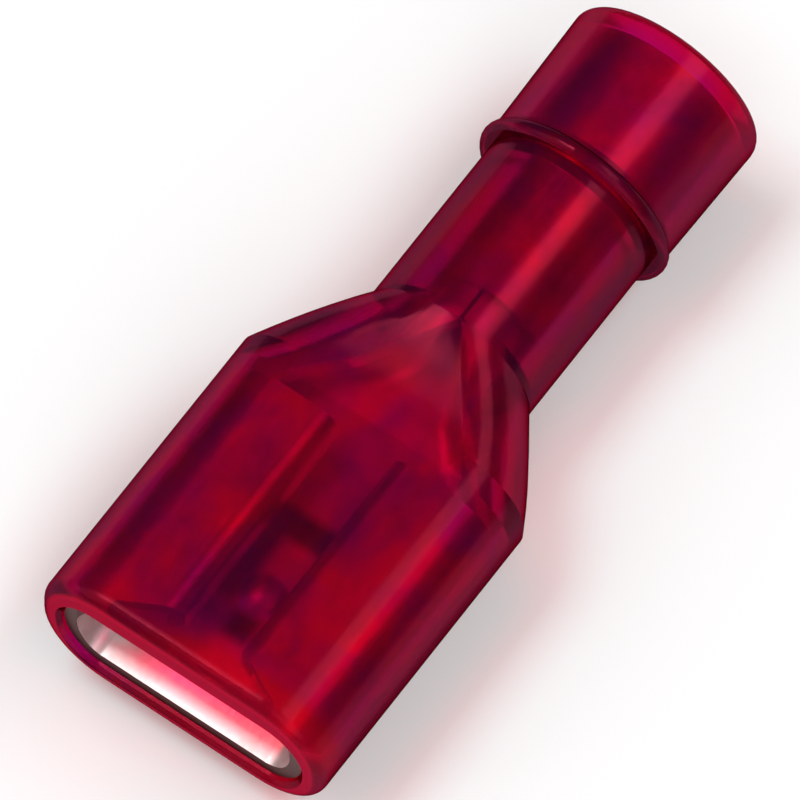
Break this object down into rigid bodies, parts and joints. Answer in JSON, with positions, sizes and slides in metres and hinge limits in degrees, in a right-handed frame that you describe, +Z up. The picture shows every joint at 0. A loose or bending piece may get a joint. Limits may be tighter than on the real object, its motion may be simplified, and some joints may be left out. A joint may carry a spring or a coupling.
{
  "type": "female spade terminal",
  "caption": "Insulated female spade terminal: a flat mouth with a folded metal receptacle for a tab, tapering to a round crimp barrel for a wire.",
  "frame": {"origin": "under the middle of the terminal as it lies, at the height of its lowest point", "axes": "+X along the terminal towards the wire end, with the mouth at -X, +Y across the flat section, +Z up"},
  "size_m": [0.022, 0.009, 0.006],
  "materials": {
    "nylon": "translucent red moulded nylon, glossy",
    "tinned_brass": "bright tin plating on brass",
    "tinned_copper": "satin tin plating on copper"
  },
  "bodies": {
    "root": {"housing": "nylon", "receptacle": "tinned_brass", "grip_sleeve": "tinned_copper"}
  },
  "joints": []
}
